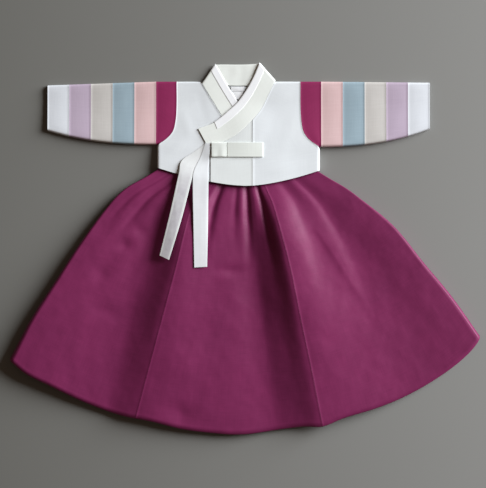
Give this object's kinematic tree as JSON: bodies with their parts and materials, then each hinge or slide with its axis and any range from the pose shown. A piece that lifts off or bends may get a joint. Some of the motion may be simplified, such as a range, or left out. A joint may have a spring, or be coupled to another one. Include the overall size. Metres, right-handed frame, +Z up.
{
  "type": "girl's hanbok laid flat",
  "caption": "Small girl's hanbok laid flat: a short wrap jacket with striped sleeves and a half-bow tie over a full gathered skirt.",
  "frame": {"origin": "middle of the outline, on the surface that the clothes lie on", "axes": "+X towards the wearer's left cuff, +Y from the hem towards the collar, +Z up out of the front of the clothes"},
  "size_m": [0.866, 0.6812, 0.0344],
  "materials": {
    "white_silk": "satin",
    "ivory_silk": "satin",
    "tie_silk": "satin",
    "starched_white": "matt",
    "label_satin": "satin",
    "magenta_silk": "satin",
    "sleeve_magenta_silk": "satin",
    "pink_silk": "satin",
    "blue_silk": "satin",
    "beige_silk": "satin",
    "lavender_silk": "satin",
    "cuff_silk": "satin",
    "waistband_cotton": "matt"
  },
  "bodies": {
    "root": {"jacket_back": "white_silk", "jacket_front_right": "white_silk", "jacket_front_left": "white_silk", "jacket_overlap": "white_silk", "collar_back": "ivory_silk", "collar_inner": "ivory_silk", "collar_outer": "ivory_silk", "collar_strip_back": "starched_white", "collar_strip_inner": "starched_white", "collar_strip_outer": "starched_white", "neck_label": "label_satin", "size_tag": "label_satin", "tie_knot": "tie_silk", "tie_loop": "tie_silk", "tie_tail_under": "tie_silk", "tie_tail_over": "tie_silk", "sleeve_left_magenta_front": "sleeve_magenta_silk", "sleeve_left_magenta_back": "sleeve_magenta_silk", "sleeve_left_pink_front": "pink_silk", "sleeve_left_pink_back": "pink_silk", "sleeve_left_blue_front": "blue_silk", "sleeve_left_blue_back": "blue_silk", "sleeve_left_beige_front": "beige_silk", "sleeve_left_beige_back": "beige_silk", "sleeve_left_lavender_front": "lavender_silk", "sleeve_left_lavender_back": "lavender_silk", "sleeve_left_white_front": "cuff_silk", "sleeve_left_white_back": "cuff_silk", "sleeve_right_magenta_front": "sleeve_magenta_silk", "sleeve_right_magenta_back": "sleeve_magenta_silk", "sleeve_right_pink_front": "pink_silk", "sleeve_right_pink_back": "pink_silk", "sleeve_right_blue_front": "blue_silk", "sleeve_right_blue_back": "blue_silk", "sleeve_right_beige_front": "beige_silk", "sleeve_right_beige_back": "beige_silk", "sleeve_right_lavender_front": "lavender_silk", "sleeve_right_lavender_back": "lavender_silk", "sleeve_right_white_front": "cuff_silk", "sleeve_right_white_back": "cuff_silk", "skirt_front_right": "magenta_silk", "skirt_front_centre": "magenta_silk", "skirt_front_left": "magenta_silk", "skirt_back_right": "magenta_silk", "skirt_back_centre": "magenta_silk", "skirt_back_left": "magenta_silk", "waistband_front": "waistband_cotton", "waistband_back": "waistband_cotton"}
  },
  "joints": []
}
